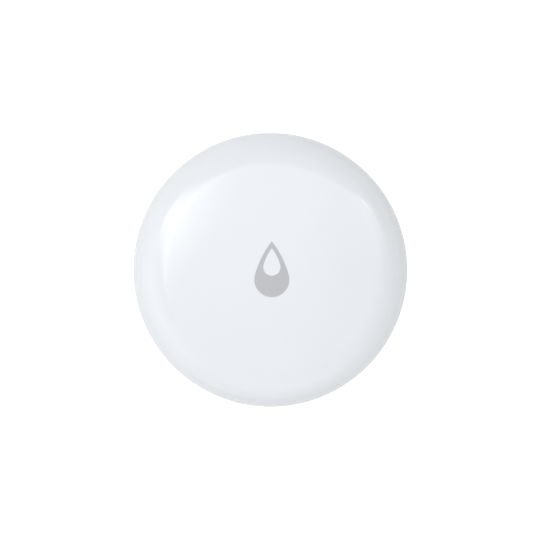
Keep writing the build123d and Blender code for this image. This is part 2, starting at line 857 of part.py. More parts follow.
def pieces():
    """Every piece by the name of its node."""
    made = {
        "top_cover": top_cover(),
        "light_guide": light_guide(),
        "base_housing": base_housing(),
        "cap_gasket": cap_gasket(),
        "battery_door": battery_door(),
        "door_seal": door_seal(),
        "battery_can": battery_can(),
        "battery_cap": battery_cap(),
        "battery_grommet": battery_grommet(),
        "board_screws": board_screws(),
        "circuit_board": circuit_board(),
        "negative_spring": negative_spring(),
        "positive_clip": positive_clip(),
        "switch_housing": switch_housing(),
        "switch_frame": switch_frame(),
        "switch_dome": switch_dome(),
        "switch_plunger": switch_plunger(),
        "switch_terminals": switch_terminals(),
        "led_body": led_body(),
        "led_lens": led_lens(),
        "radio_chip": radio_chip(),
        "radio_pins": radio_pins(),
        "crystal_base": crystal_base(),
        "crystal_lid": crystal_lid(),
        "antenna_trace": antenna_trace(),
        "capacitors": chips(capacitor_place_shares, chip_height),
        "resistors": chips(resistor_place_shares, resistor_height),
    }
    for side, angle in probe_angles.items():
        place = polar(probe_ring, angle)
        made["probe_screw_" + side] = probe_screw(place)
        made["probe_seal_" + side] = probe_seal(place)
        made["probe_insert_" + side] = brass_insert(place)
    return made


os.makedirs("parts", exist_ok=True)
for name, shape in pieces().items():
    export_step(shape, "parts/" + name + ".step")
print(f"puck {2 * puck_radius:.2f} across, {puck_height:.2f} high, probes {2 * probe_ring:.2f} apart")
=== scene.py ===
from math import asin, atan2, ceil, cos, pi, radians, sin, sqrt, tan

import bpy
from mathutils import Matrix, Vector


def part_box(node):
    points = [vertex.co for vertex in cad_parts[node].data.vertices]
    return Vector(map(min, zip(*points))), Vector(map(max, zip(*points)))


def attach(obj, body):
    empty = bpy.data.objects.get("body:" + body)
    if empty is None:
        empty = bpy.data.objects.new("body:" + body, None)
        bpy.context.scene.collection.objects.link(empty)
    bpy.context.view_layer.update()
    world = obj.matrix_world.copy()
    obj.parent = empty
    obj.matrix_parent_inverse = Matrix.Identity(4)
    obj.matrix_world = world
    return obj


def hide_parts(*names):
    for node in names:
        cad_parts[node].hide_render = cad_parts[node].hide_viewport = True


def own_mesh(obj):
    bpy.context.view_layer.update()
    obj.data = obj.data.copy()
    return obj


# Water leak sensor: a glossy puck on the floor, seen from straight above.
# Sizes in the dictionaries are millimetres, angles are degrees from +X, and heights are from the floor.

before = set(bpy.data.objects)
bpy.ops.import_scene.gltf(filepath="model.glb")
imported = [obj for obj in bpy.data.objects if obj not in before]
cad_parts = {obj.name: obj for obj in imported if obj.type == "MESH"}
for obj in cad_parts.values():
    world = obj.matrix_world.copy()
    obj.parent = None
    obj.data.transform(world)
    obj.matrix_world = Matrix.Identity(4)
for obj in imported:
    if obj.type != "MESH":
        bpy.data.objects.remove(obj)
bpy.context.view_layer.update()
mm = 0.001
tiny = 0.001 * mm  # points nearer than this are one point
past = 1  # how far in mm a cutting shape reaches beyond what it cuts
print("frame loaded:", len(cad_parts), "nodes")


def boxOf(node):
    low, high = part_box(node)
    return low / mm, high / mm


# Camera: nearly straight down through a long lens, so the domed top sits a little off the outline's middle
camera = {"distance": 600, "width": 98.54, "sensor": 36, "aside": 1.9, "back": 0.8, "target": (-0.09, -0.05, 7.7)}


def addCamera():
    bpy.ops.object.select_all(action="DESELECT")
    turned = Matrix.Rotation(radians(-camera["aside"]), 4, "Y") @ Matrix.Rotation(radians(camera["back"]), 4, "X")
    away = turned.to_3x3() @ Vector((0, 0, camera["distance"]))
    bpy.ops.object.camera_add(location=(Vector(camera["target"]) + away) * mm, rotation=turned.to_euler())
    made = bpy.context.object
    made.data.sensor_width = camera["sensor"]
    made.data.lens = camera["sensor"] * camera["distance"] / camera["width"]
    made.data.clip_start = 10 * mm
    bpy.context.scene.camera = made


addCamera()


# Nodes and colours


def toLinear(hexColour):
    # an sRGB colour as linear shares, with an alpha of one
    shares = [int(hexColour[i:i + 2], 16) / 255 for i in (0, 2, 4)]
    return [c / 12.92 if c <= 0.04045 else ((c + 0.055) / 1.055) ** 2.4 for c in shares] + [1.0]


def perSize(size):
    return 1 / (size * mm)  # a texture's scale, from the size in mm of what it repeats


def addNode(tree, kind, inputs=None, **settings):
    node = tree.nodes.new(kind)
    for name, value in settings.items():
        setattr(node, name, value)
    for name, value in (inputs or {}).items():
        if isinstance(value, bpy.types.NodeSocket):
            tree.links.new(value, node.inputs[name])
        else:
            node.inputs[name].default_value = value
    return node


def startMaterial(name, colour, roughness, **sockets):
    material = bpy.data.materials.new(name)
    material.use_nodes = True
    tree = material.node_tree
    shader = tree.nodes["Principled BSDF"]
    shader.inputs["Base Color"].default_value = toLinear(colour)
    shader.inputs["Roughness"].default_value = roughness
    for socket, value in sockets.items():
        shader.inputs[socket.replace("_", " ")].default_value = value
    place = addNode(tree, "ShaderNodeTexCoord").outputs["Object"]
    return material, tree, shader, place


def mixColours(tree, share, first, second):
    # a colour mix takes its share at socket 0 and its colours at 6 and 7, and gives the result at 2
    mix = addNode(tree, "ShaderNodeMix", {0: share, 6: first, 7: second}, data_type="RGBA")
    return mix.outputs[2]


def mottle(tree, shader, place, size, colours):
    # the colour wanders between two close tones, as pigment does
    noise = addNode(tree, "ShaderNodeTexNoise", {"Vector": place, "Scale": perSize(size), "Detail": 3.0})
    mixed = mixColours(tree, noise.outputs[0], toLinear(colours[0]), toLinear(colours[1]))
    tree.links.new(mixed, shader.inputs["Base Color"])


def roughen(tree, shader, height, depth, strength=1.0):
    # bump from a height, depth in mm between its lowest and highest point
    bump = addNode(tree, "ShaderNodeBump", {"Height": height, "Distance": depth * mm, "Strength": strength})
    tree.links.new(bump.outputs["Normal"], shader.inputs["Normal"])


def varyGloss(tree, shader, place, size, low, high):
    noise = addNode(tree, "ShaderNodeTexNoise", {"Vector": place, "Scale": perSize(size), "Detail": 4.0})
    spread = addNode(tree, "ShaderNodeMapRange", {"Value": noise.outputs[0], "From Min": 0.3, "From Max": 0.7,
                                                  "To Min": low, "To Max": high})
    tree.links.new(spread.outputs[0], shader.inputs["Roughness"])


# Materials


def polishedAbs():
    # White ABS from a polished tool: a sharp clear reflection that ripples slightly where the wall has shrunk
    material, tree, shader, place = startMaterial("glossyAbs", "eceff3", 0.05, IOR=1.52)
    mottle(tree, shader, place, 9, ("ebeef2", "edf0f4"))
    ripple = addNode(tree, "ShaderNodeTexNoise", {"Vector": place, "Scale": perSize(6), "Detail": 1.0})
    roughen(tree, shader, ripple.outputs[0], 0.003)
    return material


def sparkedAbs(name, colour, lighter):
    # White ABS from a spark-eroded tool: a fine even grain that scatters the light
    material, tree, shader, place = startMaterial(name, colour, 0.42, IOR=1.52)
    mottle(tree, shader, place, 5, (colour, lighter))
    # Real grain is about 0.05 mm: drawn at 0.16 mm so that it shows in a close view
    grain = addNode(tree, "ShaderNodeTexNoise", {"Vector": place, "Scale": perSize(0.16), "Detail": 2.0})
    roughen(tree, shader, grain.outputs[0], 0.012)
    varyGloss(tree, shader, place, 3, 0.38, 0.48)
    return material


def padInk():
    # Grey pad-printing ink: a thin satin film, a little duller than the plastic and slightly uneven
    material, tree, shader, place = startMaterial("padInk", "bdbec2", 0.28, IOR=1.48)
    mottle(tree, shader, place, 0.7, ("bcbdc1", "c0c1c5"))
    film = addNode(tree, "ShaderNodeTexNoise", {"Vector": place, "Scale": perSize(0.25), "Detail": 2.0})
    roughen(tree, shader, film.outputs[0], 0.002)
    return material


def silicone(name, colour, lighter):
    # Moulded silicone rubber: slightly milky, soft low gloss with a dusty bloom
    material, tree, shader, place = startMaterial(name, colour, 0.55, IOR=1.41, Subsurface_Weight=0.25,
                                                  Subsurface_Scale=0.4 * mm)
    mottle(tree, shader, place, 1.5, (colour, lighter))
    varyGloss(tree, shader, place, 0.8, 0.48, 0.64)
    return material


waveRate = 20  # radians that the wave texture runs through in one unit


def turnedMetal(name, colour, roughness, ringWidth, centre=(0, 0)):
    # Turned metal: fine rings about its own axis that draw the highlight out
    material, tree, shader, place = startMaterial(name, colour, roughness, Metallic=1.0)
    moved = addNode(tree, "ShaderNodeMapping", {"Vector": place, "Location": (-centre[0] * mm, -centre[1] * mm, 0)})
    rings = addNode(tree, "ShaderNodeTexWave", {"Vector": moved.outputs[0], "Scale": perSize(ringWidth) / waveRate,
                                                "Distortion": 0.4, "Detail": 2.0},
                    wave_type="RINGS", rings_direction="Z")
    roughen(tree, shader, rings.outputs[1], 0.003)
    varyGloss(tree, shader, place, 1.2, roughness * 0.8, roughness * 1.4)
    return material


def rolledMetal(name, colour, roughness, streak):
    # Sheet metal from the rolling mill: faint streaks along one direction and light handling marks
    material, tree, shader, place = startMaterial(name, colour, roughness, Metallic=1.0)
    drawn = addNode(tree, "ShaderNodeMapping", {"Vector": place, "Scale": (0.05, 1, 1)})
    streaks = addNode(tree, "ShaderNodeTexNoise", {"Vector": drawn.outputs[0], "Scale": perSize(streak),
                                                   "Detail": 3.0})
    roughen(tree, shader, streaks.outputs[0], 0.004)
    varyGloss(tree, shader, place, 1.5, roughness * 0.75, roughness * 1.5)
    return material


def clearPolycarbonate():
    # Clear moulded polycarbonate: a water-clear rod with a polished skin
    material, tree, shader, place = startMaterial("clearPolycarbonate", "f4f7f8", 0.04, IOR=1.585,
                                                  Transmission_Weight=1.0)
    flow = addNode(tree, "ShaderNodeTexNoise", {"Vector": place, "Scale": perSize(1.2), "Detail": 1.0})
    roughen(tree, shader, flow.outputs[0], 0.003)
    return material


def clearEpoxy():
    # Cast clear epoxy: glassy, with a trace of yellow and a slight haze
    material, tree, shader, place = startMaterial("clearEpoxy", "f5f3ea", 0.08, IOR=1.54, Transmission_Weight=0.9)
    mottle(tree, shader, place, 1.0, ("f3f1e6", "f8f7f1"))
    varyGloss(tree, shader, place, 0.5, 0.05, 0.14)
    return material


def plainPlastic(name, colour, lighter, roughness, grainSize):
    # Small moulded or fired part, with a fine grain
    material, tree, shader, place = startMaterial(name, colour, roughness, IOR=1.5)
    mottle(tree, shader, place, 1.2, (colour, lighter))
    grain = addNode(tree, "ShaderNodeTexNoise", {"Vector": place, "Scale": perSize(grainSize), "Detail": 3.0})
    roughen(tree, shader, grain.outputs[0], 0.006)
    return material


def solderMask():
    # FR-4 board: green solder mask that shows the raised copper tracks under it, with tinned vias, and bare tan
    # laminate at the cut edges
    material, tree, shader, place = startMaterial("solderMask", "1f6b45", 0.3, IOR=1.5)
    tracks = addNode(tree, "ShaderNodeTexBrick", {"Vector": place, "Scale": perSize(3.4), "Mortar Size": 0.035,
                                                  "Mortar Smooth": 0.2, "Brick Width": 0.9, "Row Height": 0.16},
                     offset=0.37, offset_frequency=3, squash=1.7, squash_frequency=4)
    onTrack = tracks.outputs["Fac"]
    green = mixColours(tree, onTrack, toLinear("1b6240"), toLinear("237549"))
    drills = addNode(tree, "ShaderNodeTexVoronoi", {"Vector": place, "Scale": perSize(3.1)}, voronoi_dimensions="2D")
    onVia = addNode(tree, "ShaderNodeMath", {0: drills.outputs["Distance"], 1: 0.07}, operation="LESS_THAN")
    face = mixColours(tree, onVia.outputs[0], green, toLinear("b9bcb4"))
    facing = addNode(tree, "ShaderNodeSeparateXYZ", {0: addNode(tree, "ShaderNodeNewGeometry").outputs["Normal"]})
    upright = addNode(tree, "ShaderNodeMath", {0: facing.outputs["Z"]}, operation="ABSOLUTE")
    onFace = addNode(tree, "ShaderNodeMath", {0: upright.outputs[0], 1: 0.5}, operation="GREATER_THAN")
    tree.links.new(mixColours(tree, onFace.outputs[0], toLinear("b9a878"), face), shader.inputs["Base Color"])
    roughen(tree, shader, onTrack, 0.03)
    return material


def floorPaper():
    # Plain white paper sweep: it keeps the shadow and fades to pure white away from the puck
    material, tree, shader, place = startMaterial("floorPaper", "e6e6e6", 0.9)
    away = addNode(tree, "ShaderNodeVectorMath", {0: place}, operation="LENGTH")
    fade = addNode(tree, "ShaderNodeMapRange", {"Value": away.outputs["Value"], "From Min": studio["fadeStart"] * mm,
                                                "From Max": studio["fadeEnd"] * mm, "To Min": studio["fadeLeast"]})
    lift = addNode(tree, "ShaderNodeMath", {0: addNode(tree, "ShaderNodeLightPath").outputs["Is Camera Ray"],
                                            1: studio["floorGlow"]}, operation="MULTIPLY")
    glow = addNode(tree, "ShaderNodeMath", {0: fade.outputs[0], 1: whiteRays(tree), 2: lift.outputs[0]},
                   operation="MULTIPLY_ADD")
    tree.links.new(glow.outputs[0], shader.inputs["Emission Strength"])
    shader.inputs["Emission Color"].default_value = (1, 1, 1, 1)
    return material


def whiteRays(tree):
    # one where a ray comes from the camera, or by way of gloss or glass
    path = addNode(tree, "ShaderNodeLightPath")
    either = addNode(tree, "ShaderNodeMath", {0: path.outputs["Is Camera Ray"], 1: path.outputs["Is Glossy Ray"]},
                     operation="MAXIMUM")
    either = addNode(tree, "ShaderNodeMath", {0: either.outputs[0], 1: path.outputs["Is Transmission Ray"]},
                     operation="MAXIMUM")
    return either.outputs[0]


print("materials ready")


# Modelling steps


def cross2(a, b):
    return a.x * b.y - a.y * b.x


def lineTo(here, there):
    step = there - here
    if step.length * mm > tiny:
        bpy.ops.mesh.extrude_region_move(TRANSFORM_OT_translate={"value": (step.x * mm, 0, step.y * mm)})
    return there


def arcTo(here, there, centre, arcStep):
    turn = atan2(cross2(here - centre, there - centre), (here - centre).dot(there - centre))
    steps = max(3, ceil(abs(turn) * (here - centre).length / arcStep))
    bpy.ops.mesh.spin(steps=steps, angle=turn, center=(centre.x * mm, 0, centre.y * mm), axis=(0, 1, 0))
    return there


def drawOutline(outline, arcStep):
    # an entry is a point, a point and its rounding, or a point and the centre of the arc that reaches it
    here = Vector(outline[0][:2])
    for before, entry, after in zip(outline, outline[1:], outline[2:] + outline[:1]):
        corner = Vector(entry[:2])
        if len(entry) == 4:
            here = arcTo(here, corner, Vector(entry[2:]), arcStep)
        elif len(entry) == 2:
            here = lineTo(here, corner)
        else:
            back = (Vector(before[:2]) - corner).normalized()
            ahead = (Vector(after[:2]) - corner).normalized()
            half = back.angle(ahead) / 2
            reach = entry[2] / tan(half)
            centre = corner + (back + ahead).normalized() * entry[2] / sin(half)
            here = lineTo(here, corner + back * reach)
            here = arcTo(here, corner + ahead * reach, centre, arcStep)
    return here


def startPoint(name, point):
    # a plane merged to one vertex, which the outline is drawn with
    bpy.ops.object.select_all(action="DESELECT")
    bpy.ops.mesh.primitive_plane_add(size=mm)
    piece = bpy.context.object
    piece.name = piece.data.name = name
    bpy.ops.object.mode_set(mode="EDIT")
    bpy.ops.mesh.select_all(action="SELECT")
    bpy.ops.mesh.merge(type="CENTER")
    bpy.ops.transform.translate(value=(point[0] * mm, 0, point[1] * mm))
    return piece


def turnPiece(name, outline, segments, span=360, middle=0, arcStep=0.5, closed=False):
    # the outline, radius and height, is drawn and spun about Z
    piece = startPoint(name, outline[0])
    last = drawOutline(outline, arcStep)
    if closed or span < 360:
        lineTo(last, Vector(outline[0][:2]))
    bpy.ops.mesh.select_all(action="SELECT")
    bpy.ops.mesh.remove_doubles(threshold=tiny)
    if span < 360:
        bpy.ops.mesh.edge_face_add()
    bpy.ops.mesh.spin(steps=segments, angle=-radians(span), center=(0, 0, 0), axis=(0, 0, 1))
    closeSkin()
    piece.data.transform(Matrix.Rotation(radians(middle - (span / 2 if span < 360 else 0)), 4, "Z"))
    return piece


def closeSkin():
    bpy.ops.mesh.select_all(action="SELECT")
    bpy.ops.mesh.remove_doubles(threshold=tiny)
    bpy.ops.mesh.normals_make_consistent(inside=False)
    bpy.ops.object.mode_set(mode="OBJECT")


def addBlock(name, size, low, edge, place=(0, 0), upright=False, segments=2):
    # a block on the height low, its edges rounded, or only the upright ones
    bpy.ops.object.select_all(action="DESELECT")
    bpy.ops.mesh.primitive_cube_add(size=mm)
    piece = bpy.context.object
    piece.name = piece.data.name = name
    bpy.ops.object.mode_set(mode="EDIT")
    bpy.ops.mesh.select_all(action="SELECT")
    bpy.ops.transform.resize(value=size)
    bpy.ops.transform.translate(value=(place[0] * mm, place[1] * mm, (low + size[2] / 2) * mm))
    if edge:
        bpy.ops.mesh.select_mode(type="EDGE")
        bpy.ops.mesh.select_all(action="DESELECT")
        bpy.ops.object.mode_set(mode="OBJECT")
        for line in piece.data.edges:
            ends = [piece.data.vertices[i].co.z for i in line.vertices]
            line.select = not upright or abs(ends[0] - ends[1]) > tiny
        bpy.ops.object.mode_set(mode="EDIT")
        bpy.ops.mesh.bevel(offset=edge * mm, segments=segments)
        bpy.ops.mesh.select_mode(type="VERT")
    closeSkin()
    return piece


def radialBar(name, start, end, width, low, high, edge=0.1):
    return addBlock(name, (end - start, width, high - low), low, edge, ((start + end) / 2, 0))


def addColumn(name, radius, low, high, place, edge=0.1, segments=40):
    column = turnPiece(name, [(0, low), (radius, low, edge), (radius, high, edge), (0, high)], segments)
    return movePiece(column, place)


def movePiece(piece, place):
    piece.data.transform(Matrix.Translation((place[0] * mm, place[1] * mm, 0)))
    return piece


def repeatPiece(piece, moves):
    # a copy with its own mesh for each move, in place of the first
    name = piece.name
    copies = []
    for move in moves:
        copied = piece.copy()
        copied.data = piece.data.copy()
        copied.data.transform(move)
        bpy.context.collection.objects.link(copied)
        copies.append(copied)
    bpy.data.objects.remove(piece)
    copies[0].name = name
    return copies


def repeatAround(piece, angles):
    return repeatPiece(piece, [Matrix.Rotation(radians(angle), 4, "Z") for angle in angles])


def evenAngles(count, first=0.0):
    return [first + 360 / count * i for i in range(count)]


def polar(radius, angle):
    return radius * cos(radians(angle)), radius * sin(radians(angle))


def pickPoints(piece, isPicked):
    # selects the vertices that the test names, and leaves the piece in edit mode
    bpy.ops.object.mode_set(mode="EDIT")
    bpy.ops.mesh.select_all(action="DESELECT")
    bpy.ops.object.mode_set(mode="OBJECT")
    for vertex in piece.data.vertices:
        vertex.select = isPicked(vertex.co)
    bpy.ops.object.mode_set(mode="EDIT")


def joinPieces(pieces):
    bpy.ops.object.select_all(action="DESELECT")
    for piece in pieces:
        piece.select_set(True)
    bpy.context.view_layer.objects.active = pieces[0]
    bpy.ops.object.join()
    return pieces[0]


def carve(piece, tools, operation):
    # adds or cuts away the tools, all at once
    tool = joinPieces(tools)
    cut = piece.modifiers.new(operation.lower(), "BOOLEAN")
    cut.operation = operation
    cut.solver = "EXACT"
    cut.object = tool
    bpy.ops.object.select_all(action="DESELECT")
    piece.select_set(True)
    bpy.context.view_layer.objects.active = piece
    bpy.ops.object.modifier_apply(modifier=cut.name)
    bpy.data.objects.remove(tool)
    return piece


def finishPiece(piece, material, body, nodes=(), smooth=30):
    bpy.ops.object.select_all(action="DESELECT")
    piece.select_set(True)
    bpy.context.view_layer.objects.active = piece
    bpy.ops.object.shade_smooth_by_angle(angle=radians(smooth))
    piece.data.materials.clear()
    piece.data.materials.append(material)
    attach(piece, body)
    if nodes:
        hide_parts(*nodes)
    return piece


def paintNode(node, material):
    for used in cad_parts[node].material_slots:
        used.material = material


# Cap: crown, shoulder and flank are three arcs that meet tangent, with the tongue, post and arms inside

capLow, capHigh = boxOf("top_cover")
gasketLow, gasketHigh = boxOf("cap_gasket")
plungerTop = boxOf("switch_plunger")[1].z
guideLow, guideHigh = boxOf("light_guide")
cap = {
    "radius": capHigh.x, "top": capHigh.z, "seam": capLow.z, "wall": 1.6,
    "crownRise": 0.8, "shoulder": 6.5, "flank": 14.3, "lipRounding": 0.35,
    "tongueInner": 20.11, "tongueOuter": 21.21, "tongueRounding": 0.2,
    "postRadius": 1.6, "segments": 192, "arcStep": 0.45,
    "ribs": 5, "ribStart": 1.2, "ribReach": 8, "ribWidth": 0.8, "ribDrop": 1.0, "edge": 0.12, "sink": 0.4,
    "guideY": (guideLow.y + guideHigh.y) / 2, "bossRadius": 2.4, "bossLength": 2.4, "socketRadius": 1.53,
    "socketTop": guideHigh.z + 0.03,
    "armInner": 16.96, "armOuter": 18.06, "armSpan": 14, "armMiddles": (45, 135, 225, 315), "armEdge": 0.1,
    "barbTop": 4.45, "barbHeight": 0.8, "barbFlat": 0.25, "barbReach": 0.5,
}
shoulderX = cap["radius"] - cap["shoulder"]
flankX = cap["radius"] - cap["flank"]
beltZ = cap["top"] - cap["crownRise"] - cap["shoulder"]
crownRadius = (shoulderX**2 + 2 * cap["shoulder"] * cap["crownRise"] + cap["crownRise"]**2) / (2 * cap["crownRise"])
crownZ = cap["top"] - crownRadius
crownTilt = atan2(beltZ - crownZ, shoulderX)  # angle at which crown and shoulder meet


def domeArcs(inset):
    # where the arcs meet and end, outside or moved in by the wall
    shoulder = cap["shoulder"] - inset
    meet = (shoulderX + shoulder * cos(crownTilt), beltZ + shoulder * sin(crownTilt))
    flank = cap["flank"] - inset
    foot = flankX + sqrt(flank**2 - (beltZ - cap["seam"])**2)
    return meet, (cap["radius"] - inset, beltZ), foot


def crownAt(radius, inset=0):
    return crownZ + sqrt((crownRadius - inset)**2 - radius**2)


def shoulderAt(radius, inset):
    return beltZ + sqrt((cap["shoulder"] - inset)**2 - (radius - shoulderX)**2)


def flankAt(height, inset):
    return flankX + sqrt((cap["flank"] - inset)**2 - (beltZ - height)**2)


def capOutline():
    wall = cap["wall"]
    rounding = cap["lipRounding"]
    lift = cap["seam"] + rounding
    meet, belt, foot = domeArcs(0)
    innerMeet, innerBelt, innerFoot = domeArcs(wall)
    tongueFoot = gasketHigh.z
    return [
        (0, cap["top"]),
        (*meet, 0, crownZ),
        (*belt, shoulderX, beltZ),
        (flankAt(lift, 0), lift, flankX, beltZ),
        (foot, cap["seam"], rounding),
        (innerFoot, cap["seam"], rounding),
        (flankAt(lift, wall), lift),
        (*innerBelt, flankX, beltZ),
        (cap["tongueOuter"], shoulderAt(cap["tongueOuter"], wall), shoulderX, beltZ),
        (cap["tongueOuter"], tongueFoot, cap["tongueRounding"]),
        (cap["tongueInner"], tongueFoot, cap["tongueRounding"]),
        (cap["tongueInner"], shoulderAt(cap["tongueInner"], wall)),
        (*innerMeet, shoulderX, beltZ),
        (cap["postRadius"], crownAt(cap["postRadius"], wall), 0, crownZ),
        (cap["postRadius"], plungerTop, cap["edge"]),
        (0, plungerTop),
    ]


def snapArm():
    foot = cap["barbTop"] - cap["barbHeight"]
    root = crownAt(cap["armOuter"], cap["wall"]) + cap["sink"]
    tip = cap["armOuter"] + cap["barbReach"]
    outline = [
        (cap["armInner"], root), (cap["armInner"], foot, cap["armEdge"]), (cap["armOuter"], foot),
        (tip, cap["barbTop"] - cap["barbFlat"]), (tip, cap["barbTop"]), (cap["armOuter"], cap["barbTop"]),
        (cap["armOuter"], root),
    ]
    return turnPiece("snapArm", outline, segments=10, span=cap["armSpan"])


def makeCap(material):
    shell = turnPiece("topCap", capOutline(), cap["segments"], arcStep=cap["arcStep"])
    inside = repeatAround(snapArm(), cap["armMiddles"])
    ribLow = crownAt(cap["ribReach"], cap["wall"]) - cap["ribDrop"]
    ribHigh = crownAt(cap["ribReach"], cap["wall"]) + cap["sink"]
    rib = radialBar("crownRib", cap["ribStart"], cap["ribReach"], cap["ribWidth"], ribLow, ribHigh)
    inside += repeatAround(rib, evenAngles(cap["ribs"], 90 + 180 / cap["ribs"]))
    roof = crownAt(cap["guideY"], cap["wall"])
    place = (0, cap["guideY"])
    inside.append(addColumn("guideBoss", cap["bossRadius"], roof - cap["bossLength"], roof + cap["sink"], place))
    carve(shell, inside, "UNION")
    socket = addColumn("guideSocket", cap["socketRadius"], roof - cap["bossLength"] - past, cap["socketTop"], place)
    carve(shell, [socket], "DIFFERENCE")
    return finishPiece(shell, material, "cap", ["top_cover"])


topCap = makeCap(polishedAbs())
print("cap made:", len(topCap.data.polygons), "faces")


# Mark: a plain drop from one circle and two wide arcs, with a smaller light drop left open in it

mark = {"radius": 3.17, "tip": 6.93, "sideRadius": 17.5, "middleY": -1.88, "lightShare": 0.49, "lightTip": 1.28,
        "film": 0.012, "drawnAbove": 1, "arcStep": 0.25, "cuts": 3}


def dropOutline(share, tipY):
    # from the tip down one side, round the foot and up the other side, in X and Y
    radius = mark["radius"] * share
    tip = mark["tip"] * share
    side = mark["sideRadius"] * share
    lift = asin((tip**2 + radius**2 - 2 * side * radius) / (2 * tip * (side - radius)))
    reach = side - radius
    middle = tipY - tip
    outline = [(0, tipY)]
    for hand in (1, -1):
        sideMiddle = (-hand * reach * cos(lift), middle + reach * sin(lift))
        meet = (hand * radius * cos(lift), middle - radius * sin(lift))
        if hand == 1:
            outline += [(*meet, *sideMiddle), (0, middle - radius, 0, middle)]
        else:
            outline += [(*meet, 0, middle), (0, tipY, *sideMiddle)]
    return outline


def makeMark(material):
    tipY = mark["middleY"] + mark["tip"]
    piece = startPoint("dropMark", dropOutline(1, tipY)[0])
    drawOutline(dropOutline(1, tipY), mark["arcStep"])
    bpy.ops.mesh.primitive_plane_add(size=mm)
    bpy.ops.mesh.merge(type="CENTER")
    lightTip = tipY - mark["lightTip"]
    bpy.ops.transform.translate(value=(0, 0, lightTip * mm))
    drawOutline(dropOutline(mark["lightShare"], lightTip), mark["arcStep"])
    bpy.ops.mesh.select_all(action="SELECT")
    bpy.ops.mesh.remove_doubles(threshold=tiny)
    bpy.ops.mesh.fill()
    bpy.ops.mesh.subdivide(number_cuts=mark["cuts"])
    bpy.ops.object.mode_set(mode="OBJECT")
    # the outline was drawn upright, so it is laid flat above the crown and pressed down onto it
    drawnAt = (cap["top"] + mark["drawnAbove"]) * mm
    piece.data.transform(Matrix.Translation((0, 0, drawnAt)) @ Matrix.Rotation(radians(-90), 4, "X"))
    bpy.ops.object.mode_set(mode="EDIT")
    bpy.ops.mesh.flip_normals()  # the fill faces down
    bpy.ops.object.mode_set(mode="OBJECT")
    press = piece.modifiers.new("press", "SHRINKWRAP")
    press.target = topCap
    press.wrap_method = "PROJECT"
    press.use_project_z = True
    press.use_positive_direction = False
    press.use_negative_direction = True
    bpy.ops.object.modifier_apply(modifier=press.name)
    film = piece.modifiers.new("film", "SOLIDIFY")
    film.thickness = mark["film"] * mm
    film.offset = 1
    bpy.ops.object.modifier_apply(modifier=film.name)
    return finishPiece(piece, material, "cap")


makeMark(padInk())
print("mark printed")


# Base: floor, rim, gasket channel, bayonet hub, battery well and the probes' bosses in one moulding

baseLow, baseHigh = boxOf("base_housing")
boardLow, boardHigh = boxOf("circuit_board")
doorLow, doorHigh = boxOf("battery_door")
screwLow, screwHigh = boxOf("probe_screw_right")
insertLow, insertHigh = boxOf("probe_insert_right")
base = {
    "radius": baseHigh.x, "underside": doorLow.z, "rim": 2.55, "corner": 1.6, "floor": 2.0, "segments": 160,
    "lipOuter": 22.2, "lipTop": 4.4, "channelOuter": 21.46, "channelInner": 19.86, "ringInner": 18.86, "ringTop": 5.2,
    "hubOuter": 13.36, "hubTop": 4.21, "wellOuter": 11.4, "wellInner": 10.2, "boardRest": boardLow.z,
    "ledgeLow": 2.11, "ledgeTop": 2.81, "sealBore": 10.96, "recess": 12.36, "recessTop": 1.25,
    "probeRing": (screwLow.x + screwHigh.x) / 2, "bossRadius": 3.08, "headBore": 2.9, "headSeat": 1.2,
    "glandRadius": 1.98, "glandTop": 1.9, "shankBore": 1.35, "insertFoot": insertLow.z, "mouth": 0.15,
    "pegAngles": (22.5, 202.5), "columnRadius": 1.8, "pegRadius": 0.8, "pegTop": baseHigh.z,
    "ribs": 8, "ribFirst": 22.5, "ribWidth": 0.8, "ribTop": 3.0, "ribRoot": 0.5, "sink": 0.3,
    "edge": 0.2, "fineEdge": 0.15, "softEdge": 0.25, "fillet": 0.3, "columnEdge": 0.12,
    "catchReach": 0.6, "catchLow": 4.5, "catchTop": 5.15, "catchSpan": 18,
    "cheekReach": 1.4, "cheekWidth": 0.8, "cheekOffset": 8.91,
    "footRadius": 2.3, "footAngles": (90, 270), "footEdge": 0.2,
    "grooveRadius": 10.86, "grooveTop": 3.51, "lugs": 3, "lugSpan": 22, "lugPlay": 2, "turn": 32,
    "clipSlot": (5.4, 3.4), "clipSlotLow": 3.81,
    "markRadius": 13.6, "markAngle": 61, "markSize": 0.38, "markDepth": 0.12, "markEdge": 0.04, "ringShare": 0.55,
}


def baseOutline():
    # from the outer corner round the rim, over channel, ring, hub and well, and back along the underside
    b = base
    cornerX = b["radius"] - b["corner"]
    cornerZ = b["underside"] + b["corner"]
    return [
        (cornerX, b["underside"]), (b["radius"], cornerZ, cornerX, cornerZ), (b["radius"], b["rim"], b["edge"]),
        (b["lipOuter"], b["rim"]), (b["lipOuter"], b["lipTop"], b["edge"]),
        (b["channelOuter"], b["lipTop"], b["edge"]), (b["channelOuter"], b["floor"]), (b["channelInner"], b["floor"]),
        (b["channelInner"], b["ringTop"], b["softEdge"]), (b["ringInner"], b["ringTop"], b["softEdge"]),
        (b["ringInner"], b["floor"], b["fillet"]), (b["hubOuter"], b["floor"], b["fillet"]),
        (b["hubOuter"], b["hubTop"], b["edge"]), (b["wellOuter"], b["hubTop"], b["edge"]),
        (b["wellOuter"], b["boardRest"], b["fineEdge"]), (b["wellInner"], b["boardRest"], b["softEdge"]),
        (b["wellInner"], b["ledgeLow"]), (b["sealBore"], b["ledgeLow"]),
        (b["sealBore"], b["recessTop"], b["fineEdge"]), (b["recess"], b["recessTop"]),
        (b["recess"], b["underside"], b["edge"]),
    ]


